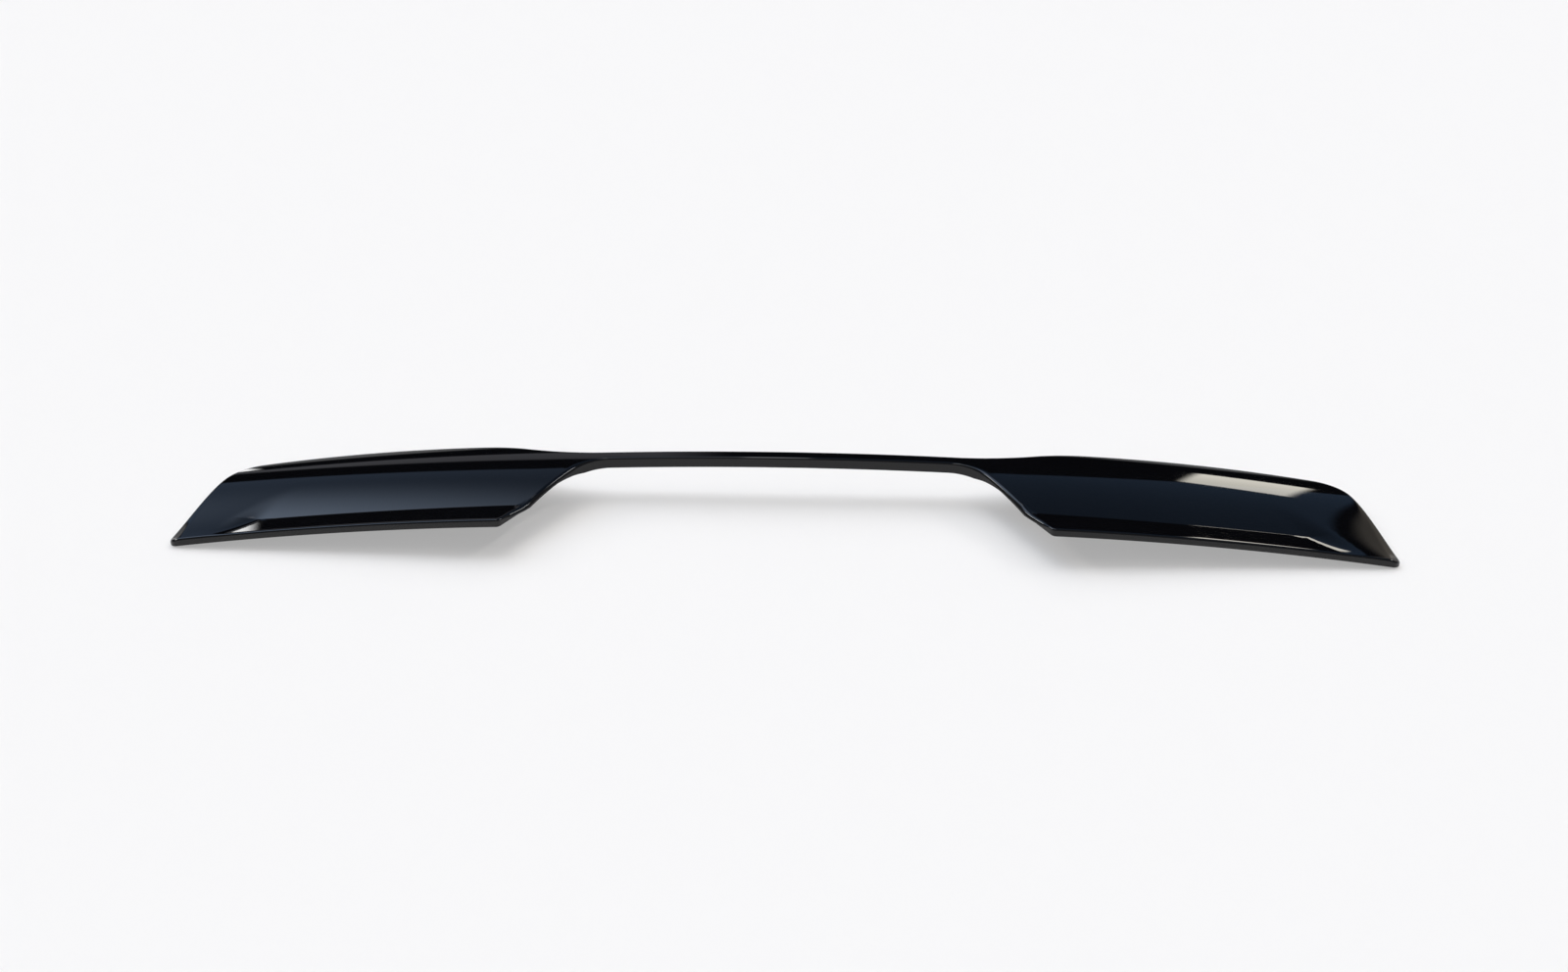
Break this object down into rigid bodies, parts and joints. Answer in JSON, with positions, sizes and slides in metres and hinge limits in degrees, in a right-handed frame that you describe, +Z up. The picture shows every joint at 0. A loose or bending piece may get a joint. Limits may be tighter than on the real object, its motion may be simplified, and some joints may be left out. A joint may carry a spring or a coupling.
{
  "type": "roof spoiler",
  "caption": "Gloss-black add-on roof spoiler moulded in one piece: swept wings with an upturned trailing lip, joined by a slim bridge across the front, hollow underneath.",
  "frame": {"origin": "middle of the bounding box's underside: midway across the span and along the depth, at the height of the end points it stands on", "axes": "+X across the car, +Y towards the car's front (leading edge), -Y the upturned trailing lip, +Z up"},
  "size_m": [1.2222, 0.1598, 0.0499],
  "materials": {
    "gloss_black": "deep gloss, clear coated"
  },
  "bodies": {
    "root": {"spoiler_shell": "gloss_black"}
  },
  "joints": []
}
